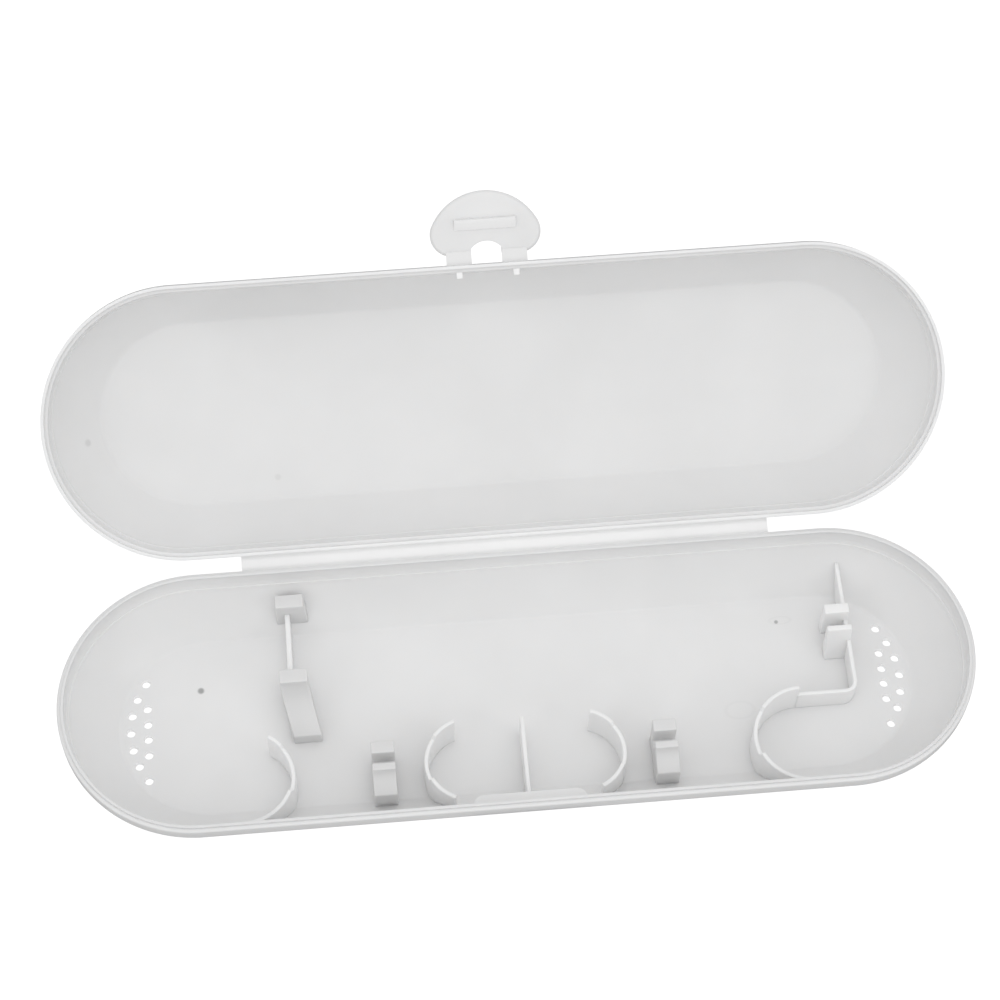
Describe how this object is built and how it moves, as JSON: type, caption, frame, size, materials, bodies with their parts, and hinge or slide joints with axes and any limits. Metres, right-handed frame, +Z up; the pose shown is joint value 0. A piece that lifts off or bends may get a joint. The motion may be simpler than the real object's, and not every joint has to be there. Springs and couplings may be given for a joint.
{
  "type": "electric toothbrush travel case",
  "caption": "Hinged plastic travel case for an electric toothbrush: stadium-shaped tray with moulded rests and vent holes, a lid on a folding strap and a folding latch flap.",
  "frame": {"origin": "centre of the base tray's flat underside", "axes": "+Z up out of the tray, +X along the case's length to the right as seen from the latch side, +Y from the latch side towards the hinge"},
  "size_m": [0.212, 0.1341, 0.0661],
  "materials": {
    "shell_white": "translucent white polypropylene, satin moulded",
    "rib_white": "translucent white polypropylene, satin moulded, with polished crests",
    "hinge_white": "thin flexed polypropylene, brighter and glossier than the walls",
    "latch_white": "translucent white polypropylene, satin moulded"
  },
  "bodies": {
    "base": {"base_shell": "shell_white", "base_rim_tongue": "shell_white", "latch_catch": "shell_white", "handle_rest_rear": "rib_white", "handle_rest_front": "rib_white", "handle_rest_rib": "rib_white", "brush_ring_left": "rib_white", "brush_ring_right": "rib_white", "brush_cup_left": "rib_white", "brush_cup_right": "rib_white", "cup_divider": "rib_white", "neck_clip_left": "rib_white", "neck_clip_right": "rib_white", "shaft_wall": "rib_white", "shaft_clip_rear_jaw": "rib_white", "shaft_clip_front_jaw": "rib_white"},
    "hinge": {"hinge_strap": "hinge_white"},
    "lid": {"lid_shell": "shell_white", "lid_rim_skirt": "shell_white", "lid_snap_lugs": "shell_white"},
    "latch": {"latch_flap": "latch_white", "latch_hook_rib": "latch_white", "latch_strap_left": "hinge_white", "latch_strap_right": "hinge_white"}
  },
  "joints": [
    {"name": "base_fold", "type": "hinge", "parent": "base", "child": "hinge", "pos_m": [0, 0.03267, 0.01559], "axis": [1, 0, 0], "range_deg": [-18.85, 71.15]},
    {"name": "lid_fold", "type": "hinge", "parent": "hinge", "child": "lid", "pos_m": [0, 0.0361, 0.01676], "axis": [1, 0, 0], "range_deg": [-18.85, 71.15]},
    {"name": "latch_fold", "type": "hinge", "parent": "lid", "child": "latch", "pos_m": [0, 0.08818, 0.05627], "axis": [1, 0, 0], "range_deg": [-30, 90]}
  ],
  "couplings": [
    {"joint": "lid_fold", "follows": "base_fold", "ratio": 1}
  ]
}
